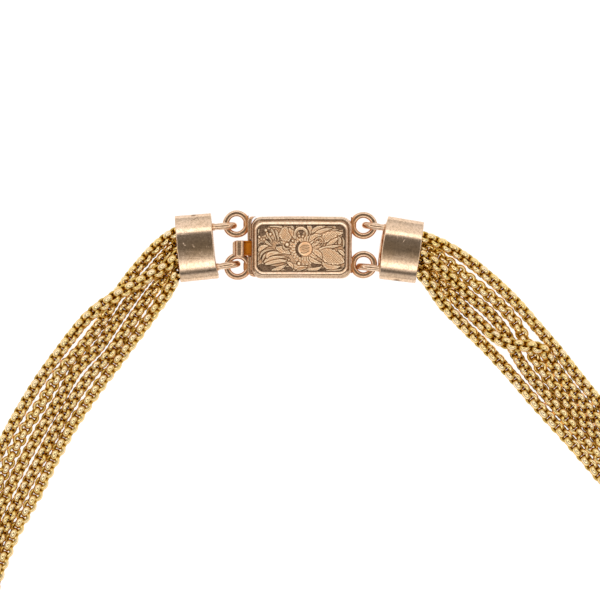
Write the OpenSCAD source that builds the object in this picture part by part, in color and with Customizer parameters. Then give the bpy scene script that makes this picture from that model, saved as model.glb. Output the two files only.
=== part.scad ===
/* [Clasp] */
// length of the clasp box, along the necklace
box_l = 16.7; // [15:0.1:19]
// width of the clasp box, across the necklace
box_w = 10.6; // [9.5:0.1:12]
// thickness of the clasp box, back to rim
box_t = 4.7; // [4.6:0.1:6]
// corner radius of the clasp front
box_r = 1.6; // [1.2:0.1:2.2]
// length of the engraved panel
panel_l = 14.8; // [13:0.1:14.8]
// width of the engraved panel
panel_w = 8.25; // [7:0.05:8.25]
// height of the cast relief over the panel
relief_h = 0.3; // [0.1:0.05:0.45]

/* [Rings and loops] */
// mean radius of the four rings
ring_r = 1.8; // [1.7:0.05:1.9]
// wire of the rings
ring_wire = 1.04; // [0.8:0.02:1.06]
// wire of the loops on the end caps
loop_wire = 0.96; // [0.7:0.02:1]

/* [End caps] */
// length of both end caps
cap_l = 6.2; // [5.5:0.1:7]
// width of the left end cap
left_cap_w = 11.1; // [10.6:0.1:12]
// width of the right end cap
right_cap_w = 10.2; // [10:0.1:11]
// thickness of the end caps
cap_t = 5.0; // [4.8:0.1:5.6]
// sheet thickness of the end caps
cap_wall = 0.35; // [0.25:0.05:0.4]

/* [Chains] */
// width of each chain strand
strand_w = 1.88; // [1.5:0.02:1.9]
// spacing of the strands where they lie side by side
lane = 1.97; // [1.95:0.01:2.4]

/* [View] */
// piece to draw

/* [Hidden] */

rose = [0.80, 0.55, 0.42];
rose_dark = [0.68, 0.45, 0.34];
yellow = [0.78, 0.58, 0.26];

// the clasp is drawn at x 0, y 0 and the whole necklace is moved to its middle
shift = [-4.73, 68.87, 0];

sheet = 0.45;
gap = 0.08;
floor_z = 4.0;              // floor of the recess for the panel
cavity_z = 3.75;            // top of the room for the tongue
slot_z = 3.52;              // top of the tongue slot, under its catch lip
panel_at = [-0.1, -0.15];
rim = 0.45;
groove = 0.14;

ring_z = 1.75;
left_rings = [[-11.15, 4.0], [-10.95, -3.2]];
right_rings = [[10.4, 3.75], [10.4, -2.9]];

plate_x = -9.1;             // outer face of the tongue plate
plate_t = 0.65;
tab_y = -0.2;               // middle of the thumb tab
hinge = [6.0, 1.75];        // fold of the spring, x and z

left_cap_at = [-18.05, 0.1, 0];
left_cap_turn = 5.2;
right_cap_at = [16.85, -0.35, 0];
right_cap_turn = -8.2;
// loop tips and roots, x and y
left_loops = [[[-11.2, 3.75], [-15.2, 3.5]], [[-10.5, -2.7], [-14.4, -3.3]]];
right_loops = [[[10.35, 3.9], [14.0, 3.45]], [[9.4, -3.05], [13.3, -3.45]]];

// route points of the five strands from the left cap to the lower left
left_1 = [[-17.2, -0.3, 3.6], [-20.2, -0.5, 3.6], [-21.5, -1.8, 3.55], [-22.9, -3.0, 3.3],
          [-24.7, -4.1, 3.0], [-28.1, -6.1, 3.0], [-31.9, -8.4, 3.0], [-34.0, -9.8, 3.0],
          [-35.6, -11.1, 2.9], [-37.2, -12.6, 1.8], [-38.8, -14.5, 0.95], [-41.1, -17.5, 0.95],
          [-43.6, -20.9, 0.95], [-46.9, -26.0, 0.95], [-49.8, -31.1, 0.95], [-52.3, -36.2, 0.95],
          [-54.5, -41.3, 0.95]];
left_2 = [[-17.5, 3.3, 2.8], [-20.3, 3.0, 2.8], [-22.2, 2.1, 2.5], [-24.4, 0.5, 1.9],
          [-26.9, -2.1, 1.1], [-29.4, -5.1, 0.95], [-31.6, -8.2, 0.95], [-34.4, -12.9, 0.95],
          [-37.05, -16.4, 0.95], [-40.9, -20.8, 0.95], [-44.1, -26.0, 0.95], [-47.3, -31.1, 0.95],
          [-49.9, -36.2, 0.95], [-52.3, -41.3, 0.95]];
left_3 = [[-17.4, 1.4, 1.6], [-20.1, 1.2, 1.6], [-21.8, 0.1, 1.4], [-23.3, -1.3, 1.1],
          [-24.9, -3.1, 0.95], [-27.3, -6.2, 0.95], [-29.5, -9.2, 0.95], [-32.0, -12.9, 0.95],
          [-34.8, -17.0, 0.95], [-38.4, -20.8, 0.95], [-41.5, -26.0, 0.95], [-44.6, -31.1, 0.95],
          [-47.4, -36.2, 0.95], [-50.0, -41.3, 0.95]];
left_4 = [[-17.0, -1.7, 1.65], [-20.8, -1.9, 1.65], [-21.9, -2.85, 1.42], [-23.35, -4.8, 1.0],
          [-25.5, -7.4, 0.95], [-27.6, -10.3, 0.95], [-29.9, -13.8, 0.95], [-33.1, -18.4, 0.95],
          [-35.7, -21.2, 0.95], [-39.1, -26.0, 0.95], [-42.1, -31.1, 0.95], [-44.8, -36.2, 0.95],
          [-47.5, -41.3, 0.95]];
left_5 = [[-16.9, -3.5, 2.7], [-20.9, -3.85, 2.7], [-21.7, -5.1, 2.85], [-22.7, -7.2, 2.5],
          [-24.8, -10.1, 1.6], [-26.4, -12.4, 0.95], [-28.6, -15.4, 0.95], [-31.4, -19.2, 0.95],
          [-36.4, -26.0, 0.95], [-39.7, -31.1, 0.95], [-42.5, -36.2, 0.95], [-45.0, -41.3, 0.95]];
// middle line of the long way round, from left to right
round_way = [[-53.3, -48.5], [-57.8, -62], [-60, -77], [-58, -93], [-51.5, -108.5], [-40.5, -122],
             [-26, -132], [-9.5, -138], [8, -139], [25, -135.5], [40.5, -128], [53.5, -117],
             [63, -103.5], [68.3, -89], [69.4, -74], [67, -60.5], [62, -48.5], [55.3, -38.4],
             [49, -30.8]];
// route points from the lower right up to the right cap
right_1 = [[46.6, -21.6, 0.95], [43.4, -17.5, 0.95], [39.7, -13.2, 0.95], [36.1, -9.1, 0.95],
           [33.1, -6.2, 0.95], [29.8, -3.4, 0.95], [28.0, -2.0, 1.1], [26.3, -0.9, 1.5],
           [24.3, 0.2, 2.1], [22.3, 1.1, 2.6], [20.4, 1.8, 3.0], [16.4, 2.45, 3.0]];
right_2 = [[44.9, -22.9, 0.95], [41.85, -18.75, 1.25], [40.8, -17.3, 2.4], [38.9, -16.85, 3.0],
           [36.6, -16.6, 3.0], [34.3, -16.15, 3.0], [32.4, -14.9, 2.6], [30.7, -13.2, 1.1],
           [27.8, -10.5, 0.95], [25.3, -8.0, 0.95], [23.5, -6.2, 1.0], [21.8, -4.5, 1.2],
           [20.4, -2.85, 1.5], [19.3, -2.3, 1.65], [15.7, -1.95, 1.65]];
right_3 = [[43.4, -24.2, 0.95], [39.8, -19.2, 0.95], [38.0, -15.9, 0.95], [36.4, -12.9, 0.95],
           [34.3, -10.4, 0.95], [31.9, -8.2, 0.95], [28.9, -5.8, 0.95], [26.1, -3.5, 0.95],
           [24.3, -2.2, 0.95], [22.4, -0.9, 1.1], [20.4, 0.1, 1.4], [19.0, 0.5, 1.6], [16.2, 0.9, 1.6]];
right_4 = [[41.9, -25.5, 0.95], [38.0, -20.7, 0.95], [36.3, -18.0, 0.95], [35.1, -15.4, 0.95],
           [33.8, -13.4, 0.95], [31.55, -10.8, 0.95], [28.5, -8.3, 1.0], [26.6, -6.5, 1.6],
           [24.5, -4.5, 2.4], [22.4, -2.6, 3.0], [20.4, -1.4, 3.3], [16.0, -0.6, 3.3]];
right_5 = [[40.2, -26.95, 0.95], [34.5, -20.4, 0.95], [31.45, -17.1, 0.95], [27.8, -13.55, 0.95],
           [26.3, -12.05, 1.1], [25.05, -10.8, 1.5], [23.8, -9.4, 2.1], [22.6, -7.7, 2.6],
           [21.6, -6.2, 2.9], [20.7, -5.05, 3.0], [19.6, -4.0, 2.95], [15.5, -3.4, 2.9]];

// outline of a rounded rectangle, six flats to a corner
function round_rect(l, w, r) =
  [for (c = [0:3], k = [0:6])
    let (a = c * 90 + k * 15, sx = (c == 0 || c == 3) ? 1 : -1, sy = c < 2 ? 1 : -1)
    [sx * (l / 2 - r) + r * cos(a), sy * (w / 2 - r) + r * sin(a)]];

function oval(a, b, n = 48) = [for (i = [0:n - 1]) [a * cos(i * 360 / n), b * sin(i * 360 / n)]];

// outline of a leaf from its stalk to its point, bent to one side
function leaf_line(l, w, bend, n) =
  concat([for (i = [0:n]) leaf_edge(l, w, bend, i / n, 1)],
         [for (i = [n - 1:-1:1]) leaf_edge(l, w, bend, i / n, -1)]);
function leaf_edge(l, w, bend, t, s) =
  let (a = bend * t)
  [l * t * cos(a * 0.5) - s * leaf_half(w, t) * sin(a), l * t * sin(a * 0.5) + s * leaf_half(w, t) * cos(a)];
function leaf_half(w, t) = w / 2 * sin(180 * pow(t, 0.8));

// smooth line through the route points, one ring about every 6 mm
function unit(v) = v / norm(v);
function side(t) = unit([t[1], -t[0], 0]);
function lane_point(i, k) =
  let (n = len(round_way) - 1, t = round_way[min(i + 1, n)] - round_way[max(i - 1, 0)],
       s = side([t[0], t[1], 0]))
  [round_way[i][0] + s[0] * lane * k, round_way[i][1] + s[1] * lane * k, 0.95];
function route(a, k, b) = concat(a, [for (i = [0:len(round_way) - 1]) lane_point(i, k)], b);
function pick(p, i) =
  i < 0 ? 2 * p[0] - p[1] : i >= len(p) ? 2 * p[len(p) - 1] - p[len(p) - 2] : p[i];
function slope(p, i) =
  let (a = pick(p, i) - pick(p, i - 1), b = pick(p, i + 1) - pick(p, i), la = norm(a), lb = norm(b))
  (a / la * lb + b / lb * la) / (la + lb);
function between(p, i, t) =
  let (l = norm(p[i + 1] - p[i]))
  (2 * t * t * t - 3 * t * t + 1) * p[i] + (t * t * t - 2 * t * t + t) * l * slope(p, i)
  + (3 * t * t - 2 * t * t * t) * p[i + 1] + (t * t * t - t * t) * l * slope(p, i + 1);
function rest_up(v) = [v[0], v[1], max(v[2], 0.95)];
function smooth(p) =
  concat([for (i = [0:len(p) - 2]) let (m = max(1, round(norm(p[i + 1] - p[i]) / 6)))
           for (j = [0:m - 1]) rest_up(between(p, i, j / m))], [p[len(p) - 1]]);
function ring_at(p, i, r) =
  let (n = len(p) - 1, t = unit(p[min(i + 1, n)] - p[max(i - 1, 0)]), s = side(t), u = cross(s, t))
  [for (k = [0:7]) let (a = 22.5 + 45 * k) p[i] + r * (s * cos(a) + u * sin(a))];

module strand(p) {
  n = len(p);
  r = strand_w / 2 / cos(22.5);
  pts = [for (i = [0:n - 1]) each ring_at(p, i, r)];
  faces = concat([[7, 6, 5, 4, 3, 2, 1, 0]],
    [for (i = [0:n - 2], k = [0:7]) let (a = 8 * i + k, b = 8 * i + (k + 1) % 8) [a, b, b + 8]],
    [for (i = [0:n - 2], k = [0:7]) let (a = 8 * i + k, b = 8 * i + (k + 1) % 8) [a, b + 8, a + 8]],
    [[for (k = [0:7]) 8 * (n - 1) + k]]);
  translate(shift) color(yellow) polyhedron(pts, faces);
}

module ring(at) {
  translate([at[0], at[1], ring_z])
    rotate_extrude($fn = 48) translate([ring_r, 0]) circle(d = ring_wire, $fn = 24);
}

// wire loop standing on edge, from its tip in the ring back to its root in the cap
module wire_loop(tip, root) {
  d = root - tip;
  half = ring_wire / 2 + 0.14 + loop_wire / 2;
  back = half + loop_wire / 2;
  translate([tip[0], tip[1], ring_z]) rotate([0, 0, atan2(d[1], d[0])]) {
    translate([back, 0, 0]) rotate([90, 0, 0]) rotate([0, 0, 90])
      rotate_extrude(angle = 180, $fn = 40) translate([half, 0]) circle(d = loop_wire, $fn = 24);
    for (s = [-1, 1]) translate([back - 0.05, 0, s * half]) rotate([0, 90, 0])
      cylinder(d = loop_wire + 0.03, h = norm(d) - back + 0.05, $fn = 24);
  }
}

module solder(x, y) {
  translate([x - 0.35, y - 1, ring_z - 0.4]) cube([0.7, 2, 0.8]);
}

module clasp_box() {
  translate(shift) color(rose) {
    difference() {
      linear_extrude(box_t) polygon(round_rect(box_l, box_w, box_r));
      translate([-box_l / 2 + 0.5, -box_w / 2 + 0.6, sheet])
        cube([box_l - 1, box_w - 1.2, cavity_z - sheet]);
      translate([-box_l / 2 - 1, -4.3, sheet]) cube([2, 8.6, slot_z - sheet]);
      translate([0, 0, box_t - 0.3]) linear_extrude(1) difference() {
        polygon(round_rect(box_l - 2 * rim, box_w - 2 * rim, box_r - 0.3));
        polygon(round_rect(box_l - 2 * rim - 2 * groove, box_w - 2 * rim - 2 * groove, box_r - 0.4));
      }
      translate([0, 0, box_t - 0.1]) linear_extrude(1)
        polygon(round_rect(box_l - 2 * rim - 0.1, box_w - 2 * rim - 0.1, box_r - 0.35));
      translate([panel_at[0], panel_at[1], floor_z]) linear_extrude(2)
        polygon(round_rect(panel_l + 2 * gap, panel_w + 2 * gap, 1.2 + gap));
    }
    for (at = right_rings) {
      ring(at);
      solder(box_l / 2 + 0.2, at[1]);
    }
  }
}

// one leaf of the relief, raised from the panel: place, turn, length, width, bend, share of the height
module leaf(p) {
  translate([p[0], p[1], 0.2]) rotate([0, 0, p[2]])
    linear_extrude(relief_h * p[6] + 0.05) polygon(leaf_line(p[3], p[4], p[5], 7));
}

module engraved_panel() {
  flower = [0.63, -0.09];
  left_leaves = [
    [-2.6, 1.0, 118, 2.9, 2.5, 0, 0.9],      // fan leaf
    [-1.9, -0.4, 172, 2.3, 1.0, 0, 0.85],
    [-4.3, 0.25, 178, 3.1, 0.8, 24, 0.8],
    [-3.9, -0.3, 203, 3.4, 0.55, 24, 0.75],
    [-2.0, -1.0, 183, 4.0, 0.8, 18, 0.95],
    [-2.1, -1.7, 192, 4.1, 1.2, 8, 1.0],
    [-2.4, -2.9, 203, 2.3, 0.7, -10, 0.7]];
  right_leaves = [
    [1.9, 2.3, 35, 2.4, 0.75, -8, 0.8],
    [3.2, 2.2, 27, 2.6, 0.8, 8, 0.85],
    [3.4, 1.1, 28, 3.8, 1.5, 10, 1.0],
    [3.4, 0.1, 8, 3.5, 0.8, 12, 0.9],
    [2.7, -0.7, -24, 4.2, 2.5, 0, 0.95]];    // broad leaf
  edge_leaves = [
    [-0.8, 2.5, 70, 1.3, 0.45, -30, 0.85],   // loop petal over the flower
    [1.0, 2.5, 118, 1.3, 0.45, 30, 0.88],
    [1.45, 2.7, 86, 1.1, 0.45, 0, 0.7],
    [-1.6, 2.9, 110, 0.8, 0.35, 0, 0.7],
    [1.0, -3.5, 12, 2.6, 0.75, 20, 0.8],
    [-1.9, -2.9, -10, 2.4, 0.75, 0, 0.75]];
  buds = [[-6.2, 3.0, -60], [-5.3, 2.35, -56], [-7.0, 1.8, -36], [-6.4, 1.35, -34]];
  translate(shift) translate([panel_at[0], panel_at[1], floor_z + 0.05]) color(rose_dark) {
    linear_extrude(0.25) polygon(round_rect(panel_l, panel_w, 1.2));
    translate([flower[0], flower[1], 0.2]) cylinder(r = 1.1, h = relief_h + 0.1, $fn = 40);
    for (k = [0:17])
      leaf([flower[0] + 1.4 * cos(k * 20), flower[1] + 1.4 * sin(k * 20), k * 20, 1.2, 0.38, 0, 0.65]);
    for (p = left_leaves) leaf(p);
    for (p = right_leaves) leaf(p);
    for (p = edge_leaves) leaf(p);
    for (b = buds) {
      leaf([b[0], b[1], b[2], 2.1, 0.3, 12, 0.6]);
      translate([b[0], b[1], 0.2]) cylinder(r = 0.26, h = relief_h + 0.02, $fn = 20);
    }
  }
}

module clasp_tongue() {
  translate(shift) color(rose) {
    difference() {
      translate([plate_x, 0.15, box_t / 2 - 0.1]) rotate([90, 0, 90]) linear_extrude(plate_t)
        polygon(round_rect(10.2, box_t - 0.2, 0.6));
      translate([plate_x - 1, tab_y - 1.6, 2.25]) cube([3, 3.2, 4]);
    }
    for (at = left_rings) {
      ring(at);
      solder(plate_x - 0.2, at[1]);
    }
    // lower leaf of the spring and its turned-up end
    translate([plate_x + 0.3, -3.7, sheet + 0.2]) cube([hinge[0] + 0.95 - plate_x - 0.3, 7, 0.45]);
    translate([hinge[0] + 0.6, -3.7, sheet + 0.2]) cube([0.35, 7, 1.8]);
  }
}

module thumb_lever() {
  translate(shift) color(rose) {
    // fold and upper leaf
    translate([hinge[0], 3.0, hinge[1]]) rotate([90, 0, 0]) cylinder(r = 0.45, h = 6.4, $fn = 32);
    translate([0, 3.0, 0]) rotate([90, 0, 0]) linear_extrude(6.4)
      polygon([[hinge[0], hinge[1]], [hinge[0], hinge[1] + 0.42], [-6.9, 3.44], [-6.9, 3.66], [-7.75, 3.66],
               [-7.75, 3.05], [-7, 3.0]]);
    // neck through the slot
    translate([-11, tab_y - 1.2, 3.05]) cube([3.6, 2.4, 0.37]);
    // rolled thumb tab
    translate([0, tab_y + 1.37, 0]) rotate([90, 0, 0]) linear_extrude(2.74)
      polygon([[-9.95, 3.1], [-9.95, 4.05], [-10.15, 4.22], [-10.7, 4.3], [-11.25, 4.27], [-11.6, 4.1],
               [-11.8, 3.8], [-11.83, 3.5], [-11.7, 3.22], [-11.45, 3.07], [-11.2, 3.02], [-10.2, 3.02]]);
  }
}

// oval sleeve, open at -x and closed at +x
module cap_body(w) {
  a = w / 2;
  b = cap_t / 2;
  translate([0, 0, b]) rotate([90, 0, 90]) {
    translate([0, 0, -cap_l / 2]) linear_extrude(cap_l) difference() {
      polygon(oval(a, b));
      polygon(oval(a - cap_wall, b - cap_wall));
    }
    translate([0, 0, cap_l / 2 - 0.5]) linear_extrude(0.4) polygon(oval(a - 0.1, b - 0.1));
    translate([0, 0, cap_l / 2 - 0.3]) linear_extrude(0.5) polygon(oval(a * 0.82, b * 0.8));
    translate([0, 0, cap_l / 2 - 0.3]) linear_extrude(0.7) polygon(oval(a * 0.6, b * 0.6));
  }
  // bar that the strands end on
  translate([1.5, a - 0.2, b]) rotate([90, 0, 0]) cylinder(r = 0.5, h = w - 0.4, $fn = 24);
}

module end_cap_left() {
  translate(shift) color(rose) {
    translate(left_cap_at) rotate([0, 0, left_cap_turn]) cap_body(left_cap_w);
    for (p = left_loops) wire_loop(p[0], p[1]);
  }
}

module end_cap_right() {
  translate(shift) color(rose) {
    translate(right_cap_at) rotate([0, 0, 180 + right_cap_turn]) cap_body(right_cap_w);
    for (p = right_loops) wire_loop(p[0], p[1]);
  }
}

module strand_1() { strand(smooth(route(left_1, 2, right_1))); }
module strand_2() { strand(smooth(route(left_2, 1, right_2))); }
module strand_3() { strand(smooth(route(left_3, 0, right_3))); }
module strand_4() { strand(smooth(route(left_4, -1, right_4))); }
module strand_5() { strand(smooth(route(left_5, -2, right_5))); }

clasp_box();
engraved_panel();
clasp_tongue();
thumb_lever();
end_cap_left();
end_cap_right();
strand_1();
strand_2();
strand_3();
strand_4();
strand_5();
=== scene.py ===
import math

import bmesh
import bpy
import numpy as np
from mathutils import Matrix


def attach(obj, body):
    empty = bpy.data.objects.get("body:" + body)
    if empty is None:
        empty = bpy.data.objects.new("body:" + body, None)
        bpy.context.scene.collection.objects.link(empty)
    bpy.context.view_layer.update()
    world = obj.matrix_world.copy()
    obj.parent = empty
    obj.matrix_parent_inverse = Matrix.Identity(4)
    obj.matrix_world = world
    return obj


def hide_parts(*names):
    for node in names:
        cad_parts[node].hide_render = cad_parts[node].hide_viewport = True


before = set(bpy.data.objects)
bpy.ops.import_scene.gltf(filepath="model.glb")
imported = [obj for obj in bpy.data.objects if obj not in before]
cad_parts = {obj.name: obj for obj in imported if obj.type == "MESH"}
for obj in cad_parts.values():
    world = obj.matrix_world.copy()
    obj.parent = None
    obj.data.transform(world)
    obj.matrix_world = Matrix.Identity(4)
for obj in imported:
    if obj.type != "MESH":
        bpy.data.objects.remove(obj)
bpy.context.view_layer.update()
print("necklace: frame loaded")

mm = 0.001
claspMiddle = np.array([-4.73, 68.87, 0.0])  # each piece is drawn in millimetres from here


# small mesh helpers

def clamp(value):
    return min(1.0, max(0.0, value))


def turns(count):
    return [2 * math.pi * i / count for i in range(count)]


def inScene(name, data):
    piece = bpy.data.objects.new(name, data)
    bpy.context.scene.collection.objects.link(piece)
    return piece


def meshPiece(name, shape, material, sharpAngle=None, **marks):
    # shape holds points and faces; each mark is one value, or one for every point
    points, faces = shape
    placed = (np.array(points, float) + claspMiddle) * mm
    mesh = bpy.data.meshes.new(name)
    mesh.from_pydata([tuple(p) for p in placed], [], faces)
    for label, values in marks.items():
        values = np.array(np.broadcast_to(values, len(points)), np.float32)
        mesh.attributes.new(label, "FLOAT", "POINT").data.foreach_set("value", values)
    work = bmesh.new()
    work.from_mesh(mesh)
    bmesh.ops.remove_doubles(work, verts=work.verts, dist=0.0001 * mm)
    bmesh.ops.recalc_face_normals(work, faces=work.faces)
    work.to_mesh(mesh)
    work.free()
    mesh.shade_smooth()
    if sharpAngle:
        mesh.set_sharp_from_angle(angle=math.radians(sharpAngle))
    mesh.materials.append(material)
    return inScene(name, mesh)


def plainMesh(piece, sharpAngle=None):
    # the piece as its modifiers leave it, with no modifier on it
    depsgraph = bpy.context.evaluated_depsgraph_get()
    mesh = bpy.data.meshes.new_from_object(piece.evaluated_get(depsgraph))
    piece.modifiers.clear()
    piece.data = mesh
    mesh.name = piece.name
    if sharpAngle:
        mesh.shade_smooth()
        mesh.set_sharp_from_angle(angle=math.radians(sharpAngle))
    return piece


def bevelled(piece, width):
    bevel = piece.modifiers.new("edges", "BEVEL")
    bevel.width = width * mm
    bevel.segments = 2
    bevel.limit_method = "ANGLE"
    bevel.angle_limit = math.radians(28)
    bevel.harden_normals = False
    return plainMesh(piece, sharpAngle=35)


def mergePieces(main, others):
    bpy.ops.object.select_all(action="DESELECT")
    for piece in [main, *others]:
        piece.select_set(True)
    bpy.context.view_layer.objects.active = main
    bpy.ops.object.join()


def loft(rings, ends=True):
    count = len(rings[0])
    points = [tuple(p) for ring in rings for p in ring]
    faces = []
    for start in range(0, len(points) - count, count):
        for j in range(count):
            a, b = start + j, start + (j + 1) % count
            faces.append((a, b, b + count, a + count))
    if ends:
        faces.append(tuple(reversed(range(count))))
        faces.append(tuple(range(len(points) - count, len(points))))
    return points, faces


def extruded(outline, low, high, axis):
    # a section drawn out along x or y
    def place(u, v, w):
        return (w, u, v) if axis == "x" else (u, w, v)
    return loft([[place(u, v, w) for u, v in outline] for w in (low, high)])


def sweepTube(path, radii, sides):
    # a round wire along a path that starts level
    path = np.array(path, float)
    tangents = np.gradient(path, axis=0)
    tangents /= np.linalg.norm(tangents, axis=1)[:, None]
    normal = np.cross(tangents[0], [0.0, 0.0, 1.0])
    rings = []
    for p, t, radius in zip(path, tangents, radii):
        normal = normal - t * np.dot(normal, t)
        normal /= np.linalg.norm(normal)
        across = np.cross(t, normal)
        rings.append([p + radius * (math.cos(a) * normal + math.sin(a) * across) for a in turns(sides)])
    return rings


def roundedRect(halfX, halfY, radius, cornerSteps=10, sideSteps=6):
    # outline points, the same number for every size
    corners = []
    for k, (sx, sy) in enumerate(((1, 1), (-1, 1), (-1, -1), (1, -1))):
        middle = (sx * (halfX - radius), sy * (halfY - radius))
        corners.append([(middle[0] + radius * math.cos(a), middle[1] + radius * math.sin(a))
                        for a in np.radians(np.linspace(90 * k, 90 * k + 90, cornerSteps + 1))])
    points = []
    for corner, after in zip(corners, corners[1:] + corners[:1]):
        points += corner
        for f in np.arange(1, sideSteps) / sideSteps:
            points.append(tuple(a + (b - a) * f for a, b in zip(corner[-1], after[0])))
    return points


def oval(halfY, halfZ, count, power=2.0):
    # squarer with more power
    def bent(u):
        return math.copysign(abs(u) ** (2 / power), u)
    return [(halfY * bent(math.cos(a)), halfZ * bent(math.sin(a))) for a in turns(count)]


# node helpers

class NodeValue:
    # the output of a node, for use in sums and as the input of others
    def __init__(self, node, output=0):
        self.node, self.tree, self.socket = node, node.id_data, node.outputs[output]

    def output(self, key):
        return NodeValue(self.node, key)

    def split(self):
        parts = addNode(self.tree, "ShaderNodeSeparateXYZ", {0: self})
        return [parts.output(k) for k in range(3)]

    def calc(self, operation, other=0.0, clamped=False, swapped=False):
        pair = (other, self) if swapped else (self, other)
        return addNode(self.tree, "ShaderNodeMath", dict(enumerate(pair)),
                       operation=operation, use_clamp=clamped)

    def __add__(self, other):
        return self.calc("ADD", other)

    def __sub__(self, other):
        return self.calc("SUBTRACT", other)

    def __rsub__(self, other):
        return self.calc("SUBTRACT", other, swapped=True)

    def __mul__(self, other):
        return self.calc("MULTIPLY", other)

    def __truediv__(self, other):
        return self.calc("DIVIDE", other)


def feed(node, values):
    for key, value in values.items():
        socket = node.inputs[key]
        if isinstance(value, NodeValue):
            node.id_data.links.new(value.socket, socket)
        else:
            socket.default_value = (*value, 1.0) if socket.type == "RGBA" else value


def addNode(tree, kind, values=None, **settings):
    # settings first, because some of them change which inputs a node has
    node = tree.nodes.new(kind)
    for key, value in settings.items():
        setattr(node, key, value)
    feed(node, values or {})
    return NodeValue(node) if node.outputs else None


def newMaterial(name):
    material = bpy.data.materials.new(name)
    material.use_nodes = True
    shader = material.node_tree.nodes["Principled BSDF"]
    place = addNode(material.node_tree, "ShaderNodeTexCoord").output("Object")
    return material, shader, place


def noiseNode(place, scale, detail=3.0, roughness=0.5, stretch=None, turn=0.0):
    if stretch:
        place = addNode(place.tree, "ShaderNodeMapping",
                        {"Vector": place, "Scale": stretch, "Rotation": (0, 0, math.radians(turn))})
    noise = {"Vector": place, "Scale": scale, "Detail": detail, "Roughness": roughness}
    return addNode(place.tree, "ShaderNodeTexNoise", noise).output("Fac")


def greyRamp(value, *stops):
    # each stop is a place and a level
    ramp = addNode(value.tree, "ShaderNodeValToRGB", {"Fac": value})
    elements = ramp.node.color_ramp.elements
    while len(elements) < len(stops):
        elements.new(0.5)
    for element, (place, level) in zip(elements, stops):
        element.position = place
        element.color = (level, level, level, 1.0)
    return ramp


def rise(value, low, high):
    return greyRamp(value, (low, 0.0), (high, 1.0))


def mixNode(factor, first, second, blend="MIX"):
    tree = next(value.tree for value in (factor, first) if isinstance(value, NodeValue))
    return addNode(tree, "ShaderNodeMix", {0: factor, 6: first, 7: second},
                   data_type="RGBA", blend_type=blend).output(2)


def attributeNode(place, name):
    return addNode(place.tree, "ShaderNodeAttribute", attribute_name=name).output("Fac")


def bumpNodes(layers, bumps):
    # each bump lies on the one before: name of the layer, height in millimetres and strength
    values = {}
    for name, height, strength in bumps:
        values.update({"Height": layers[name], "Distance": height * mm, "Strength": strength})
        values["Normal"] = addNode(layers[name].tree, "ShaderNodeBump", values)
    return values["Normal"]


# the three finishes; noise is given by scale, detail and roughness

roseFinish = {
    "bright": (0.86, 0.635, 0.465), "warm": (0.83, 0.585, 0.39), "speck": (0.50, 0.34, 0.22),
    # the next two colours are real tarnish and dirt, and also serve as painted shade and painted reflection
    # on some pieces
    "tarnish": (0.59, 0.195, 0.015), "grime": (0.19, 0.10, 0.045),
    "noise": {"tone": (260, 4), "grain": (5200, 2, 0.6), "stain": (420, 5, 0.65), "specks": (2700, 4, 0.75),
              "ragged": (3000, 2, 0.6), "smear": (700, 4, 0.6), "dents": (330, 2, 0.4),
              "scratchA": (900, 3, 0.6, (0.25, 4.5, 1.0), 28),
              "scratchB": (1100, 3, 0.6, (5.0, 0.3, 1.0), 12)},
    "speckMix": 0.7, "stainMix": 0.22, "markMix": 0.75, "rough": (0.06, 0.13),
    "roughMore": {"lines": 0.10, "specks": 0.03, "grime": 0.25, "tarnish": 0.45},
    "bumps": [("dents", 0.02, 0.5), ("grain", 0.004, 0.35), ("lines", 0.006, 0.2), ("nicks", -0.06, 1.0)],
}
# marks on the two caps: place, half length, half width and turn, in millimetres and degrees
capStains = [(-18.5, 5.42, 0.5, 0.2, 5), (-18.25, 4.85, 0.9, 0.07, 28), (-17.65, 4.75, 0.45, 0.06, -60),
             (16.1, -5.62, 0.7, 0.3, -8), (-15.6, -3.9, 0.7, 0.07, 8)]
capNicks = [(-20.0, 0.5, 0.32, 0.09, -50), (-18.45, 0.25, 0.3, 0.09, -55), (-17.2, -0.9, 0.25, 0.07, 35),
            (17.2, 1.1, 0.3, 0.07, 60)]


def markNode(place, marks, ragged=0.0):
    # soft-edged ovals, seen from above
    found = 0.0
    for x, y, length, width, turn in marks:
        middle = ((x + claspMiddle[0]) * mm, (y + claspMiddle[1]) * mm, 0.0)
        moved = addNode(place.tree, "ShaderNodeVectorMath", {0: place, 1: middle}, operation="SUBTRACT")
        turned = addNode(place.tree, "ShaderNodeVectorRotate",
                         {"Vector": moved, "Angle": -math.radians(turn)}, rotation_type="Z_AXIS")
        sized = addNode(place.tree, "ShaderNodeVectorMath",
                        {0: turned, 1: (1 / (length * mm), 1 / (width * mm), 0.0)}, operation="MULTIPLY")
        reach = addNode(place.tree, "ShaderNodeVectorMath", {0: sized}, operation="LENGTH").output("Value")
        found = greyRamp(reach + ragged, (0.55, 1.0), (1.0, 0.0)).calc("MAXIMUM", found)
    return found


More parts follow.
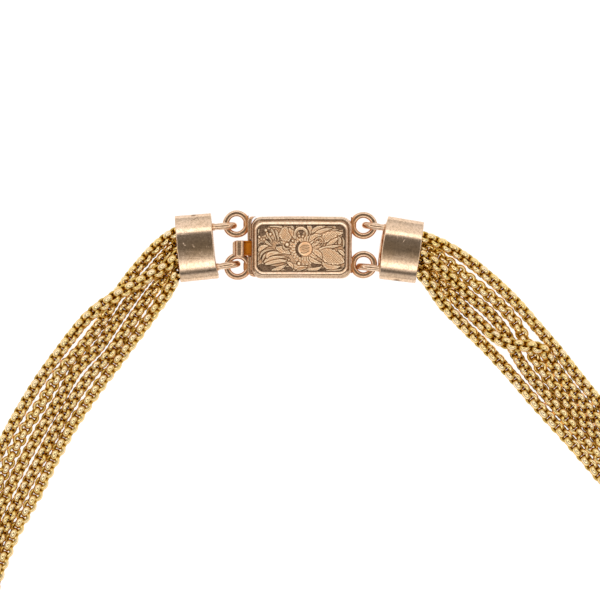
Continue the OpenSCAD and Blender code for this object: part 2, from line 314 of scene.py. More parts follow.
def makeRoseGold():
    material, shader, place = newMaterial("polishedRoseGold")
    layers = {name: noiseNode(place, *noise) for name, noise in roseFinish["noise"].items()}
    layers["grime"] = attributeNode(place, "grime")
    layers["tarnish"] = attributeNode(place, "tarnish")
    layers["lines"] = rise(layers["scratchA"], 0.60, 0.66) + rise(layers["scratchB"], 0.61, 0.67)
    layers["specks"] = rise(layers["specks"], 0.44, 0.62)
    layers["nicks"] = markNode(place, capNicks)
    colour = mixNode(rise(layers["tone"], 0.35, 0.65), roseFinish["bright"], roseFinish["warm"])
    colour = mixNode(layers["specks"] * roseFinish["speckMix"], colour, roseFinish["speck"])
    colour = mixNode(layers["tarnish"], colour, roseFinish["tarnish"])
    # real stains, plus the darkening set on each piece, which is partly painted shade
    darkening = rise(layers["stain"], 0.60, 0.78) * roseFinish["stainMix"]
    darkening = darkening.calc("ADD", layers["grime"], clamped=True)
    stains = markNode(place, capStains, layers["ragged"] - 0.5)
    darkening = darkening.calc("MAXIMUM", stains * roseFinish["markMix"])
    colour = mixNode(darkening, colour, roseFinish["grime"])
    low, high = roseFinish["rough"]
    rough = greyRamp(layers["smear"], (0.3, low), (0.75, high))
    for name, share in roseFinish["roughMore"].items():
        rough = rough + layers[name] * share
    feed(shader, {"Metallic": 1.0, "Base Color": colour, "Roughness": rough,
                  "Normal": bumpNodes(layers, roseFinish["bumps"])})
    return material


panelFinish = {
    "raised": (0.91, 0.53, 0.29), "raisedWarm": (0.88, 0.47, 0.23), "wearAndHighlight": (1.0, 0.78, 0.53),
    "cut": (0.30, 0.17, 0.08), "ground": (0.31, 0.195, 0.12), "groundDark": (0.13, 0.075, 0.04),
    "tone": (600, 3), "grain": (3800, 2), "punches": 3400,
    "groundRough": 0.62, "raisedSmoother": 0.31, "toneRough": 0.06,
    "bumps": [("stipple", 0.03, 0.8), ("grain", 0.006, 0.4)],
}


def makePatinatedGold():
    material, shader, place = newMaterial("patinatedRoseGold")
    tone = rise(noiseNode(place, *panelFinish["tone"]), 0.35, 0.65)
    top = mixNode(tone, panelFinish["raised"], panelFinish["raisedWarm"])
    # the wear mark is also a painted highlight, and the cut mark also paints shade into the hollows
    for mark in ("wearAndHighlight", "cut"):
        top = mixNode(attributeNode(place, mark), top, panelFinish[mark])
    punched = addNode(place.tree, "ShaderNodeTexVoronoi", {"Vector": place, "Scale": panelFinish["punches"]})
    low = mixNode(rise(punched, 0.15, 0.6), panelFinish["groundDark"], panelFinish["ground"])
    raised = rise(attributeNode(place, "raised"), 0.25, 0.75)
    rough = panelFinish["groundRough"] - raised * panelFinish["raisedSmoother"]
    rough = rough + tone * panelFinish["toneRough"]
    layers = {"stipple": punched * (1.0 - raised), "grain": noiseNode(place, *panelFinish["grain"])}
    feed(shader, {"Metallic": 1.0, "Base Color": mixNode(raised, low, top), "Roughness": rough,
                  "Normal": bumpNodes(layers, panelFinish["bumps"])})
    return material


chainFinish = {
    # edge and inside are the colours of the painted shade on each link
    "light": (0.96, 0.77, 0.54), "deep": (0.945, 0.685, 0.29), "edge": (0.69, 0.458, 0.088),
    "inside": (0.228, 0.082, 0.001), "grazing": (1.0, 0.68, 0.22),
    "patch": (900, 3), "patchMix": 0.4, "linkMix": 0.6, "edgeMix": 0.9, "insideMix": 0.97,
    "smear": (2200, 3, 0.6), "rough": (0.07, 0.14), "insideRough": 0.15,
    "waves": (1500, 3, 0.55), "bumps": [("waves", 0.02, 0.45)],
}


def makeYellowGold():
    material, shader, place = newMaterial("polishedYellowGold")
    inner = attributeNode(place, "linkPaintedShade")
    patch = rise(noiseNode(place, *chainFinish["patch"]), 0.35, 0.65) * chainFinish["patchMix"]
    tone = attributeNode(place, "linkTone") * chainFinish["linkMix"] + patch
    colour = mixNode(tone, chainFinish["light"], chainFinish["deep"])
    # painted shade: towards the hole, the link ends and the band edges the gold deepens to orange first, then
    # to dark brown
    depth = inner * 2.0
    colour = mixNode(depth.calc("MINIMUM", 1.0) * chainFinish["edgeMix"], colour, chainFinish["edge"])
    hollow = depth.calc("SUBTRACT", 1.0, clamped=True) * chainFinish["insideMix"]
    colour = mixNode(hollow, colour, chainFinish["inside"])
    low, high = chainFinish["rough"]
    rough = greyRamp(noiseNode(place, *chainFinish["smear"]), (0.3, low), (0.7, high))
    normal = bumpNodes({"waves": noiseNode(place, *chainFinish["waves"])}, chainFinish["bumps"])
    feed(shader, {"Metallic": 1.0, "Base Color": colour, "Specular Tint": chainFinish["grazing"],
                  "Roughness": rough + inner * chainFinish["insideRough"], "Normal": normal})
    return material


roseGold = makeRoseGold()
patinatedGold = makePatinatedGold()
yellowGold = makeYellowGold()
print("necklace: materials made")


# the chains: five routes, and one tree that strings interlocked links along each

chain = {
    "pitch": 1.084, "linkLength": 2.14, "linkWidth": 2.34, "wireThick": 0.56, "bandWidth": 1.14,
    "linkSides": 16, "wireSides": 6, "crown": 0.3, "oblong": 0.72,
    "insideFrom": (0.98, 0.78), "endsFrom": (0.8, 1.1), "edgesFrom": (0.4, 1.0),
    "endShade": 0.6, "edgeShade": 0.34,
    "lane": 1.97, "rest": 0.95, "lift": 0.2, "step": 0.4,
    "tilt": 4.0, "drift": 9.0, "driftPace": 0.045, "seed": 7, "seedStep": 17.3,
}
# turn of the links about the chain's own line: left cap, lower left, lower right, right cap
rolls = {
    1: (30, 38, 45, 50), 2: (45, 76, 45, 40), 3: (45, 30, 42, 66), 4: (52, 36, 18, 45), 5: (30, 18, 62, 52),
}
# shares of the chain's length over which each turn goes over into the next
rollSpans = [(0.05, 0.11), (0.3, 0.7), (0.87, 0.92)]
# each strand's way from its cap into the open; a point without a height lies on the ground
leftWays = {
    1: [(-17.2, -0.3, 3.6), (-20.2, -0.5, 3.6), (-21.5, -1.8, 3.55), (-22.9, -3.0, 3.3), (-24.7, -4.1, 3.0),
        (-28.1, -6.1, 3.0), (-31.9, -8.4, 3.0), (-34.0, -9.8, 3.0), (-35.6, -11.1, 2.9),
        (-37.2, -12.6, 1.8), (-38.8, -14.5), (-41.1, -17.5), (-43.6, -20.9), (-46.9, -26.0), (-49.8, -31.1),
        (-52.3, -36.2), (-54.5, -41.3)],
    2: [(-17.5, 3.3, 2.8), (-20.3, 3.0, 2.8), (-22.2, 2.1, 2.5), (-24.4, 0.5, 1.9), (-26.9, -2.1, 1.1),
        (-29.4, -5.1), (-31.6, -8.2), (-34.4, -12.9), (-37.05, -16.4), (-40.9, -20.8), (-44.1, -26.0),
        (-47.3, -31.1), (-49.9, -36.2), (-52.3, -41.3)],
    3: [(-17.4, 1.4, 1.6), (-20.1, 1.2, 1.6), (-21.8, 0.1, 1.4), (-23.3, -1.3, 1.1), (-24.9, -3.1),
        (-27.3, -6.2), (-29.5, -9.2), (-32.0, -12.9), (-34.8, -17.0), (-38.4, -20.8), (-41.5, -26.0),
        (-44.6, -31.1), (-47.4, -36.2), (-50.0, -41.3)],
    4: [(-17.0, -1.7, 1.65), (-20.8, -1.9, 1.65), (-21.9, -2.85, 1.42), (-23.35, -4.8, 1.0), (-25.5, -7.4),
        (-27.6, -10.3), (-29.9, -13.8), (-33.1, -18.4), (-35.7, -21.2), (-39.1, -26.0), (-42.1, -31.1),
        (-44.8, -36.2), (-47.5, -41.3)],
    5: [(-16.9, -3.5, 2.7), (-20.9, -3.85, 2.7), (-21.7, -5.1, 2.85), (-22.7, -7.2, 2.5),
        (-24.8, -10.1, 1.6), (-26.4, -12.4), (-28.6, -15.4), (-31.4, -19.2), (-36.4, -26.0), (-39.7, -31.1),
        (-42.5, -36.2), (-45.0, -41.3)],
}
roundWay = [(-53.3, -48.5), (-57.8, -62), (-60, -77), (-58, -93), (-51.5, -108.5), (-40.5, -122),
            (-26, -132), (-9.5, -138), (8, -139), (25, -135.5), (40.5, -128), (53.5, -117), (63, -103.5),
            (68.3, -89), (69.4, -74), (67, -60.5), (62, -48.5), (55.3, -38.4), (49, -30.8)]
rightWays = {
    1: [(46.6, -21.6), (43.4, -17.5), (39.7, -13.2), (36.1, -9.1), (33.1, -6.2), (29.8, -3.4),
        (28.0, -2.0, 1.1), (26.3, -0.9, 1.5), (24.3, 0.2, 2.1), (22.3, 1.1, 2.6), (20.4, 1.8, 3.0),
        (16.4, 2.45, 3.0)],
    2: [(44.9, -22.9), (41.85, -18.75, 1.25), (40.8, -17.3, 2.4), (38.9, -16.85, 3.0), (36.6, -16.6, 3.0),
        (34.3, -16.15, 3.0), (32.4, -14.9, 2.6), (30.7, -13.2, 1.1), (27.8, -10.5), (25.3, -8.0),
        (23.5, -6.2, 1.0), (21.8, -4.5, 1.2), (20.4, -2.85, 1.5), (19.3, -2.3, 1.65), (15.7, -1.95, 1.65)],
    3: [(43.4, -24.2), (39.8, -19.2), (38.0, -15.9), (36.4, -12.9), (34.3, -10.4), (31.9, -8.2),
        (28.9, -5.8), (26.1, -3.5), (24.3, -2.2), (22.4, -0.9, 1.1), (20.4, 0.1, 1.4), (19.0, 0.5, 1.6),
        (16.2, 0.9, 1.6)],
    4: [(41.9, -25.5), (38.0, -20.7), (36.3, -18.0), (35.1, -15.4), (33.8, -13.4), (31.55, -10.8),
        (28.5, -8.3, 1.0), (26.6, -6.5, 1.6), (24.5, -4.5, 2.4), (22.4, -2.6, 3.0), (20.4, -1.4, 3.3),
        (16.0, -0.6, 3.3)],
    5: [(40.2, -26.95), (34.5, -20.4), (31.45, -17.1), (27.8, -13.55), (26.3, -12.05, 1.1),
        (25.05, -10.8, 1.5), (23.8, -9.4, 2.1), (22.6, -7.7, 2.6), (21.6, -6.2, 2.9), (20.7, -5.05, 3.0),
        (19.6, -4.0, 2.95), (15.5, -3.4, 2.9)],
}


def chainRoute(strand):
    # left end, the long way round offset by whole lanes, and the right end
    middle = []
    way = np.array(roundWay, float)
    for i in range(len(way)):
        t = way[min(i + 1, len(way) - 1)] - way[max(i - 1, 0)]
        t /= np.linalg.norm(t)
        shift = chain["lane"] * (3 - strand)
        middle.append((way[i][0] + t[1] * shift, way[i][1] - t[0] * shift))
    points = np.array([(*p, chain["rest"])[:3] for p in leftWays[strand] + middle + rightWays[strand]])
    padded = np.vstack([2 * points[0] - points[1], points, 2 * points[-1] - points[-2]])
    steps = np.diff(padded, axis=0)
    lengths = np.linalg.norm(steps, axis=1)[:, None]
    unit = steps / lengths
    slopes = (unit[:-1] * lengths[1:] + unit[1:] * lengths[:-1]) / (lengths[:-1] + lengths[1:])
    line = []
    for i in range(len(points) - 1):
        span = lengths[i + 1]
        count = max(2, int(round(float(span[0]) / chain["step"])))
        for j in range(count):
            t = j / count
            p = ((2 * t ** 3 - 3 * t ** 2 + 1) * points[i] + (t ** 3 - 2 * t ** 2 + t) * span * slopes[i]
                 + (3 * t ** 2 - 2 * t ** 3) * points[i + 1] + (t ** 3 - t ** 2) * span * slopes[i + 1])
            p[2] = max(p[2], chain["rest"])
            line.append(p)
    line.append(points[-1])
    return line


def linkTree():
    tree = bpy.data.node_groups.new("belcherLinks", "GeometryNodeTree")
    kinds = {"Geometry": "Geometry", "Seed": "Int", "Finish": "Material"}
    sockets = {}
    for name in ("Geometry", "Pitch", "Link Length", "Link Width", "Wire Thickness", "Band Width",
                 "Roll A", "Roll B", "Roll C", "Roll D", "Roll Drift", "Tilt", "Seed", "Finish"):
        kind = "NodeSocket" + kinds.get(name, "Float")
        sockets[name] = tree.interface.new_socket(name, in_out="INPUT", socket_type=kind).identifier
    tree.interface.new_socket("Geometry", in_out="OUTPUT", socket_type="NodeSocketGeometry")

    def add(kind, values=None, **settings):
        return addNode(tree, kind, values, **settings)

    def vector(*xyz):
        return add("ShaderNodeCombineXYZ", dict(enumerate(xyz)))

    def fade(value, fromTo):
        return add("ShaderNodeMapRange", {"Value": value, "From Min": fromTo[0], "From Max": fromTo[1]})

    source = add("NodeGroupInput")
    given = {name: source.output(name) for name in sockets}

    # one link: an oval ring of flattened wire, straighter along its sides than a plain oval,
    # its hole along Z and its length along X
    halfLength = (given["Link Length"] - given["Wire Thickness"]) * 0.5
    halfWidth = (given["Link Width"] - given["Wire Thickness"]) * 0.5
    halfBand = given["Band Width"] * 0.5
    x, y, z = add("GeometryNodeInputPosition").split()
    ring = add("GeometryNodeCurvePrimitiveCircle", {"Resolution": chain["linkSides"], "Radius": 1.0})
    sideways = y.calc("SIGN") * y.calc("ABSOLUTE").calc("POWER", chain["oblong"])
    ring = add("GeometryNodeSetPosition", {"Geometry": ring, "Position": vector(x, sideways, 0.0)})
    ring = add("GeometryNodeTransform", {"Geometry": ring, "Scale": vector(halfLength, halfWidth, 1.0)})
    ring = add("GeometryNodeSetCurveNormal", {"Curve": ring}, mode="Z_UP")
    # half-round wire: the side away from the hole is the narrower one
    wire = add("GeometryNodeCurvePrimitiveCircle", {"Resolution": chain["wireSides"], "Radius": 1.0})
    wire = add("GeometryNodeTransform", {"Geometry": wire, "Rotation": (0, 0, math.radians(30))})
    crowned = vector(x, y * (1.0 - x * chain["crown"]), 0.0)
    wire = add("GeometryNodeSetPosition", {"Geometry": wire, "Position": crowned})
    thickness = given["Wire Thickness"] * (0.5 / 0.866)  # across the flats of the six sides
    wire = add("GeometryNodeTransform", {"Geometry": wire, "Scale": vector(thickness, halfBand, 1.0)})
    link = add("GeometryNodeCurveToMesh", {"Curve": ring, "Profile Curve": wire})
    # painted shade: darker towards the hole, at the two ends and along the edges of the band
    across, along = x / halfLength, y / halfWidth
    inside = fade((across * across + along * along).calc("SQRT"), chain["insideFrom"])
    ends = fade(across.calc("ABSOLUTE"), chain["endsFrom"])
    edges = fade(z.calc("ABSOLUTE") / halfBand, chain["edgesFrom"])
    shaded = (ends * chain["endShade"]).calc("MAXIMUM", edges * chain["edgeShade"])
    link = add("GeometryNodeStoreNamedAttribute", {
        "Geometry": link, "Name": "linkPaintedShade", "Value": inside.calc("MAXIMUM", shaded),
    }, data_type="FLOAT", domain="POINT")

    # the route, cut into one point for each link, each turned by a quarter against the next
    route = add("GeometryNodeMeshToCurve", {"Mesh": given["Geometry"]})
    spaced = add("GeometryNodeCurveToPoints", {"Curve": route, "Length": given["Pitch"]}, mode="LENGTH")
    facing = add("FunctionNodeAxesToRotation", {0: spaced.output("Tangent"), 1: (0, 0, 1)},
                 primary_axis="X", secondary_axis="Z")
    index = add("GeometryNodeInputIndex")
    count = add("GeometryNodeAttributeDomainSize", {"Geometry": spaced}, component="POINTCLOUD")
    share = index / count.output("Point Count")
    roll = given["Roll A"]
    for first, second, span in zip("ABC", "BCD", rollSpans):
        roll = roll + (given["Roll " + second] - given["Roll " + first]) * fade(share, span)
    seedPlace = index * chain["driftPace"] + given["Seed"] * chain["seedStep"]
    wander = add("ShaderNodeTexNoise", {"W": seedPlace, "Scale": 1.0, "Detail": 1.0}, noise_dimensions="1D")
    roll = roll + (wander - 0.5) * (given["Roll Drift"] * 2.0) + index.calc("MODULO", 2.0) * (math.pi / 2)
    spin = add("FunctionNodeAxisAngleToRotation", {"Axis": (1, 0, 0), "Angle": roll})
    least = given["Tilt"] * -1.0
    loose = add("FunctionNodeRandomValue", {
        0: vector(least, least, least), 1: vector(*[given["Tilt"]] * 3), "Seed": given["Seed"],
    }, data_type="FLOAT_VECTOR")
    tilt = add("FunctionNodeEulerToRotation", {0: loose})
    hung = facing
    for turn in (spin, tilt):
        hung = add("FunctionNodeRotateRotation", {"Rotation": hung, "Rotate By": turn},
                   rotation_space="LOCAL")
    strung = add("GeometryNodeInstanceOnPoints", {"Points": spaced, "Instance": link, "Rotation": hung})
    tone = add("FunctionNodeRandomValue", {"Seed": given["Seed"]}, data_type="FLOAT").output(1)
    strung = add("GeometryNodeStoreNamedAttribute", {"Geometry": strung, "Name": "linkTone", "Value": tone},
                 data_type="FLOAT", domain="INSTANCE")
    real = add("GeometryNodeRealizeInstances", {"Geometry": strung})
    smooth = add("GeometryNodeSetShadeSmooth", {"Geometry": real})
    finish = add("GeometryNodeSetMaterial", {"Geometry": smooth, "Material": given["Finish"]})
    add("NodeGroupOutput", {"Geometry": finish})
    return tree, sockets


def makeChains():
    tree, sockets = linkTree()
    for strand in range(1, 6):
        line = (np.array(chainRoute(strand)) + claspMiddle + [0, 0, chain["lift"]]) * mm
        mesh = bpy.data.meshes.new("chain_%d" % strand)
        mesh.from_pydata([tuple(p) for p in line], [(i, i + 1) for i in range(len(line) - 1)], [])
        piece = inScene("chain_%d" % strand, mesh)
        modifier = piece.modifiers.new("links", "NODES")
        modifier.node_group = tree
        values = {
            "Pitch": chain["pitch"] * mm, "Link Length": chain["linkLength"] * mm,
            "Link Width": chain["linkWidth"] * mm, "Wire Thickness": chain["wireThick"] * mm,
            "Band Width": chain["bandWidth"] * mm, "Roll Drift": math.radians(chain["drift"]),
            "Tilt": math.radians(chain["tilt"]), "Seed": chain["seed"] + strand, "Finish": yellowGold,
        }
        for letter, turn in zip("ABCD", rolls[strand]):
            values["Roll " + letter] = math.radians(turn)
        for name, value in values.items():
            modifier[sockets[name]] = value
        plainMesh(piece)
        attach(piece, "necklace")
        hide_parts("strand_%d" % strand)
        print("necklace: chain", strand, "has", len(piece.data.polygons), "faces")


makeChains()


# rings, wire loops and their solder

rings = {
    "radius": 1.81, "wire": 1.08, "height": 1.75, "around": 72, "sides": 24, "squareness": 2.8,
    "outOfRound": (0.008, 0.005), "uneven": 0.015,
    # painted reflection along the top ridge and painted shade on the lower side; tarnish by the wall, and
    # less dirt overall
    "ridge": 0.25, "wallStain": 0.7, "lowShade": 0.3, "clean": 0.25,
    # middle of each ring, and a number that its unevenness starts from
    "left": [(-11.22, 4.0, 180), (-11.0, -3.2, 175)],
    "right": [(10.4, 3.75, 0), (10.4, -2.9, 4)],
}
solder = {
    "sides": 28, "squareness": 2.4, "stain": 0.75,
    # reach from the wall, half width, half height, and how far it is darkened, most at the wall
    "stations": [(-0.15, 1.5, 0.66, 0.5), (0.02, 1.42, 0.62, 0.45), (0.12, 1.15, 0.56, 0.3),
                 (0.3, 0.98, 0.52, 0.15), (0.5, 0.86, 0.47, 0.05), (0.66, 0.72, 0.40, 0.0),
                 (0.74, 0.5, 0.3, 0.0)],
}
loops = {
    "wire": 1.16, "waist": 1.0, "shoulder": 1.05, "ringGap": 0.03, "sides": 20, "intoCap": 0.35,
    "flareFrom": 0.8, "flare": 0.13, "ridge": 0.15, "bendStain": 0.22, "clean": 0.2,
    # tip at the ring and root at the cap
    "left": [((-11.08, 3.78), (-15.2, 3.5)), ((-10.5, -2.7), (-14.4, -3.3))],
    "right": [((10.1, 3.88), (14.0, 3.38)), ((9.15, -3.15), (13.3, -3.6))],
}


def makeRing(name, x, y, phase):
    # wire bent round by hand: never quite round, nor quite even
    twice, thrice = rings["outOfRound"]
    path, radii = [], []
    for a in turns(rings["around"]):
        wobble = 1 + twice * math.cos(2 * a + phase) + thrice * math.cos(3 * a + 1.3 * phase)
        reach = rings["radius"] * wobble
        path.append(np.array([x + reach * math.cos(a), y + reach * math.sin(a), rings["height"]]))
        radii.append(rings["wire"] / 2 * (1 + rings["uneven"] * math.cos(5 * a + phase)))
    ringSet = []
    for before, p, after, radius in zip(path[-1:] + path, path, path[1:] + path[:1], radii):
        t = after - before
        t /= np.linalg.norm(t)
        out = np.array([t[1], -t[0], 0.0])
        section = oval(radius, radius, rings["sides"], rings["squareness"])
        ringSet.append([p + across * out + np.array([0, 0, up]) for across, up in section])
    points, faces = loft(ringSet + ringSet[:1], ends=False)
    wall = 1 if x < 0 else -1
    grime, tarnish = [], []
    for i, p in enumerate(points):
        byWall = clamp((wall * (p[0] - x) / rings["radius"] - 0.55) / 0.4)
        # painted shade on the lower side of the ring
        below = clamp((y - p[1]) / rings["radius"] * 0.8 + 0.25)
        # painted reflection: the ridge along the top is given a darker, more orange tint and is kept clean
        fromTop = abs(i % rings["sides"] - rings["sides"] / 4)
        ridge = rings["ridge"] * clamp(2.2 - fromTop)
        tarnish.append(max(rings["wallStain"] * byWall, rings["lowShade"] * below, ridge))
        grime.append(-rings["clean"] - 0.3 * ridge)
    return meshPiece(name, (points, faces), roseGold, grime=grime, tarnish=tarnish)


def makeSolder(name, wallX, y, direction):
    # web of solder from the wall to the ring, widest at the wall
    ringSet, grime = [], []
    for reach, halfY, halfZ, darkening in solder["stations"]:
        section = oval(halfY, halfZ, solder["sides"], solder["squareness"])
        ringSet.append([(wallX + direction * reach, y + a, rings["height"] + b) for a, b in section])
        grime += [darkening] * solder["sides"]
    return meshPiece(name, loft(ringSet), roseGold, grime=grime, tarnish=solder["stain"])


def makeRings(side, wallX, direction):
    for i, (x, y, phase) in enumerate(rings[side], 1):
        ring = makeRing("ring_%s_%d" % (side, i), x, y, phase)
        for part in (ring, makeSolder("solder_%s_%d" % (side, i), wallX, y, direction)):
            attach(part, "necklace")


def makeLoop(name, tip, root):
    # one wire bent round the ring and back, its two legs above each other
    tip, root = np.array([*tip, rings["height"]]), np.array([*root, rings["height"]])
    way = root - tip
    length = np.linalg.norm(way)
    way /= length
    thick, waist, flareFrom = loops["wire"] / 2, loops["waist"] / 2, loops["flareFrom"]
    half = rings["wire"] / 2 + loops["ringGap"] + thick
    back = half + thick
    # distance from the tip, height, and share of the way from the bend to the cap
    distances = np.linspace(length + loops["intoCap"], back, 12)[:-1]
    legs = [(d, half, (d - back) / (length - back)) for d in distances]
    angles = np.radians(np.linspace(90, 270, 25))
    bend = [(back + half * math.cos(a), half * math.sin(a), 0.0) for a in angles]
    stations = legs + bend + [(d, -height, f) for d, height, f in reversed(legs)]

    radii, grime, tarnish = [], [], []
    for d, height, f in stations:
        if f <= 0:
            radii.append(thick)
        elif f < flareFrom:
            shoulder = thick * loops["shoulder"]
            radii.append(shoulder + (waist - shoulder) * (f / flareFrom) ** 2)
        else:
            radii.append(waist + min(loops["flare"], (f - flareFrom) * 0.75))  # solder at the cap
        # the wire darkens where it nears the cap
        darkening = min(0.5, max(0.0, (f - flareFrom) * 1.6)) - loops["clean"]
        stain = loops["bendStain"] if f <= 0 else max(0.0, 0.2 - f * 2.2, (f - 0.84) * 2.5)
        for k in range(loops["sides"]):
            # painted reflection: a darker tint along the top of the wire, as on the rings
            ridge = loops["ridge"] * clamp(1.7 - abs(k - loops["sides"] * 0.75))
            grime.append(darkening - ridge)
            tarnish.append(max(ridge, stain))
    path = [tip + way * d + np.array([0, 0, height]) for d, height, _ in stations]
    shape = loft(sweepTube(path, radii, loops["sides"]))
    return meshPiece(name, shape, roseGold, grime=grime, tarnish=tarnish)


# the box of the clasp

box = {
    "length": 17.1, "width": 10.6, "corner": 1.8, "middleX": -0.14, "sheet": 0.45,
    "faceFrom": 4.0, "rimTop": 4.65,
    "panel": (-0.1, -0.15), "recess": (7.7, 4.205, 1.28), "recessLevels": (4.285, 4.02),
    "windowAt": (-0.2, -0.15), "window": (7.48, 3.94, 1.1),
    "cavityTop": 3.75, "slotTop": 3.52, "slotHalf": 4.3, "shadedEnds": 0.14, "darkerBelow": 0.06,
    "wornLeft": 0.2, "wornBelow": 0.12, "wornGroove": 0.75, "bulge": 0.03, "dip": 0.045,
}
# inset and height of each line up the wall, over the rim and down into the groove, then how far it is
# darkened, most in the groove
rimLines = [
    (0.55, 0.0, 0.1), (0.32, 0.0, 0.1), (0.16, 0.05, 0.05), (0.05, 0.18, 0.0), (0.0, 0.42, 0.0),
    (0.0, 1.6, 0.0), (0.0, 3.2, 0.0), (0.015, 3.75, 0.0), (0.05, 4.12, 0.0), (0.1, 4.36, 0.0),
    (0.17, 4.5, 0.0), (0.25, 4.58, 0.0), (0.34, 4.63, 0.0), (0.42, 4.65, 0.0), (0.49, 4.64, 0.05),
    (0.53, 4.58, 0.2), (0.57, 4.52, 0.35), (0.62, 4.5, 0.4), (0.68, 4.53, 0.35), (0.72, 4.6, 0.2),
    (0.76, 4.65, 0.05),
]
# share of the way from the groove to the window, height, and darkening across the bezel: painted shade where
# it drops into the recess
bezelLines = [
    (0.06, 4.68, 0.0), (0.15, 4.68, 0.0), (0.35, 4.65, 0.0), (0.55, 4.62, 0.0), (0.75, 4.58, 0.0),
    (0.9, 4.53, 0.05), (0.97, 4.46, 0.4), (1.0, 4.38, 0.8), (1.0, 4.29, 1.0),
]


def makeBox():
    halfX, halfY = box["length"] / 2, box["width"] / 2
    points, grime = [], []
    for inset, z, darkening in rimLines:
        settled = min(1.0, inset / 0.4) if z > box["faceFrom"] else 0.0
        line = roundedRect(halfX - inset, halfY - inset, box["corner"] - inset * 0.8)
        for x, y in line:
            # along the lower edge the groove is worn nearly flat
            flat = box["wornGroove"] if y < 1.3 - halfY and inset > 0.45 and z > 4.4 else 0.0
            grime.append(darkening * (1 - flat))
            # the rim is worn narrow on the left and below, and the wall bulges and dips, as an old box does
            x -= box["wornLeft"] * settled * (x < 1.5 - halfX)
            y -= box["wornBelow"] * settled
            bulge = box["bulge"] * math.sin(0.55 * y + 0.8)
            dip = box["dip"] * math.sin(0.42 * x + 2.1) * (1 if y > 0 else 0.6)
            points.append((x + box["middleX"] + bulge, y + dip, z + (box["rimTop"] - z) * flat))
    count = len(line)
    outer = np.array(points[-count:])[:, :2]
    inner = np.array(roundedRect(*box["window"])) + np.array(box["windowAt"])
    for share, z, darkening in bezelLines:
        points += [(x, y, z) for x, y in outer + (inner - outer) * share]
        grime += [darkening] * count
    # painted shade: the recess walls are fully darkened
    for z in box["recessLevels"]:
        points += [(x + box["panel"][0], y + box["panel"][1], z) for x, y in roundedRect(*box["recess"])]
        grime += [1.0] * count
    # painted shade on the short ends, and a faint darker tint along the lower edge
    tarnish = []
    for x, y, z in points:
        short = clamp((abs(x - box["middleX"]) - halfX + 1.4) / 0.4) * clamp((halfY - 0.6 - abs(y)) / 0.8)
        lower = clamp((1.6 - y - halfY) / 0.3)
        darkened = max(box["shadedEnds"] * short, box["darkerBelow"] * lower)
        tarnish.append(darkened if z > box["faceFrom"] else 0.0)
    shape = loft([points[i:i + count] for i in range(0, len(points), count)])
    shell = meshPiece("clasp_shell", shape, roseGold, grime=grime, tarnish=tarnish)

    def cutter(low, high):
        xs, ys, zs = zip(low, high)
        corners = [(x, y, z) for x in xs for y in ys for z in zs]
        sides = [(0, 1, 3, 2), (4, 6, 7, 5), (0, 4, 5, 1), (2, 3, 7, 6), (0, 2, 6, 4), (1, 5, 7, 3)]
        return meshPiece("cutter", (corners, sides), roseGold)

    left, right = box["middleX"] - halfX, box["middleX"] + halfX
    sheet, half = box["sheet"], box["slotHalf"]
    cutters = [cutter((left + 0.5, 0.6 - halfY, sheet), (right - 0.5, halfY - 0.6, box["cavityTop"])),
               cutter((left - 1, -half, sheet), (left + 1, half, box["slotTop"]))]
    for tool in cutters:
        cut = shell.modifiers.new("cut", "BOOLEAN")
        cut.operation = "DIFFERENCE"
        cut.object = tool
        cut.solver = "EXACT"
    plainMesh(shell, sharpAngle=38)
    for tool in cutters:
        bpy.data.objects.remove(tool)
    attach(shell, "necklace")
    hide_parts("clasp_box")
    makeRings("right", right, 1)
    print("necklace: clasp box made")


makeBox()


# the tongue: end plate, its rings and the lower leaf of the spring

tongue = {
    "plateX": (-9.3, -8.64), "ends": (-5.0, 5.25), "top": 4.5, "corner": 0.45, "edge": 0.12,
    "bends": (1.25, 0.95), "bendDepth": (1.1, 0.75), "plateStain": 0.35, "leafStain": 0.3,
    # ends and sill of the notch, the ranges of the leaf in x, y and z, and where it turns up
    "notch": (-1.65, 1.35, 2.25), "leaf": (-8.8, 6.95, -3.7, 3.3, 0.65, 1.1), "upturn": (6.6, 2.45),
}


def makeEndPlate():
    low, high = tongue["ends"]
    notchLow, notchHigh, sill = tongue["notch"]
    x0, x1 = tongue["plateX"]
    corner, top = tongue["corner"], tongue["top"]
    angles = np.radians([0, 22, 45, 67, 90])
    rounded = [(corner * (1 - math.cos(a)), corner * (1 - math.sin(a))) for a in angles]
    # place along the plate, how far its edge draws in, and its top
    stations = [(low + along, inset, top) for along, inset in rounded]
    stations += [(y, 0.0, top) for y in np.linspace(low + 0.6, notchLow - 0.01, 9)]
    stations += [(notchLow, 0.0, sill), (notchHigh, 0.0, sill)]
    stations += [(y, 0.0, top) for y in np.linspace(notchHigh + 0.01, high - 0.6, 9)]
    stations += [(high - along, inset, top) for along, inset in reversed(rounded)]
    ringSet = []
    for y, inset, top in stations:
        bend = 0.0
        for depth, reach, past in zip(tongue["bendDepth"], tongue["bends"], (low - y, y - high)):
            share = clamp((past + reach) / reach)
            bend += depth * (1 - math.sqrt(1 - share ** 2))
        outline = roundedRect((x1 - x0) / 2, top / 2 - inset, tongue["edge"], 3, 2)
        ringSet.append([(u + (x0 + x1) / 2 + bend, y, v + top / 2) for u, v in outline])
    return meshPiece("tongue_plate", loft(ringSet), roseGold, sharpAngle=35, tarnish=tongue["plateStain"])


def makeTongue():
    plate = makeEndPlate()
    x0, x1, y0, y1, z0, z1 = tongue["leaf"]
    turnX, turnZ = tongue["upturn"]
    section = [(x0, z0), (x1, z0), (x1, turnZ), (turnX, turnZ), (turnX, z1), (x0, z1)]
    leaf = meshPiece("spring_lower", extruded(section, y0, y1, "y"), roseGold, tarnish=tongue["leafStain"])
    mergePieces(plate, [bevelled(leaf, 0.06)])
    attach(plate, "necklace")
    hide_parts("clasp_tongue")
    makeRings("left", tongue["plateX"][0], -1)
    print("necklace: tongue made")


makeTongue()


# the thumb tab, its neck and the upper leaf of the spring

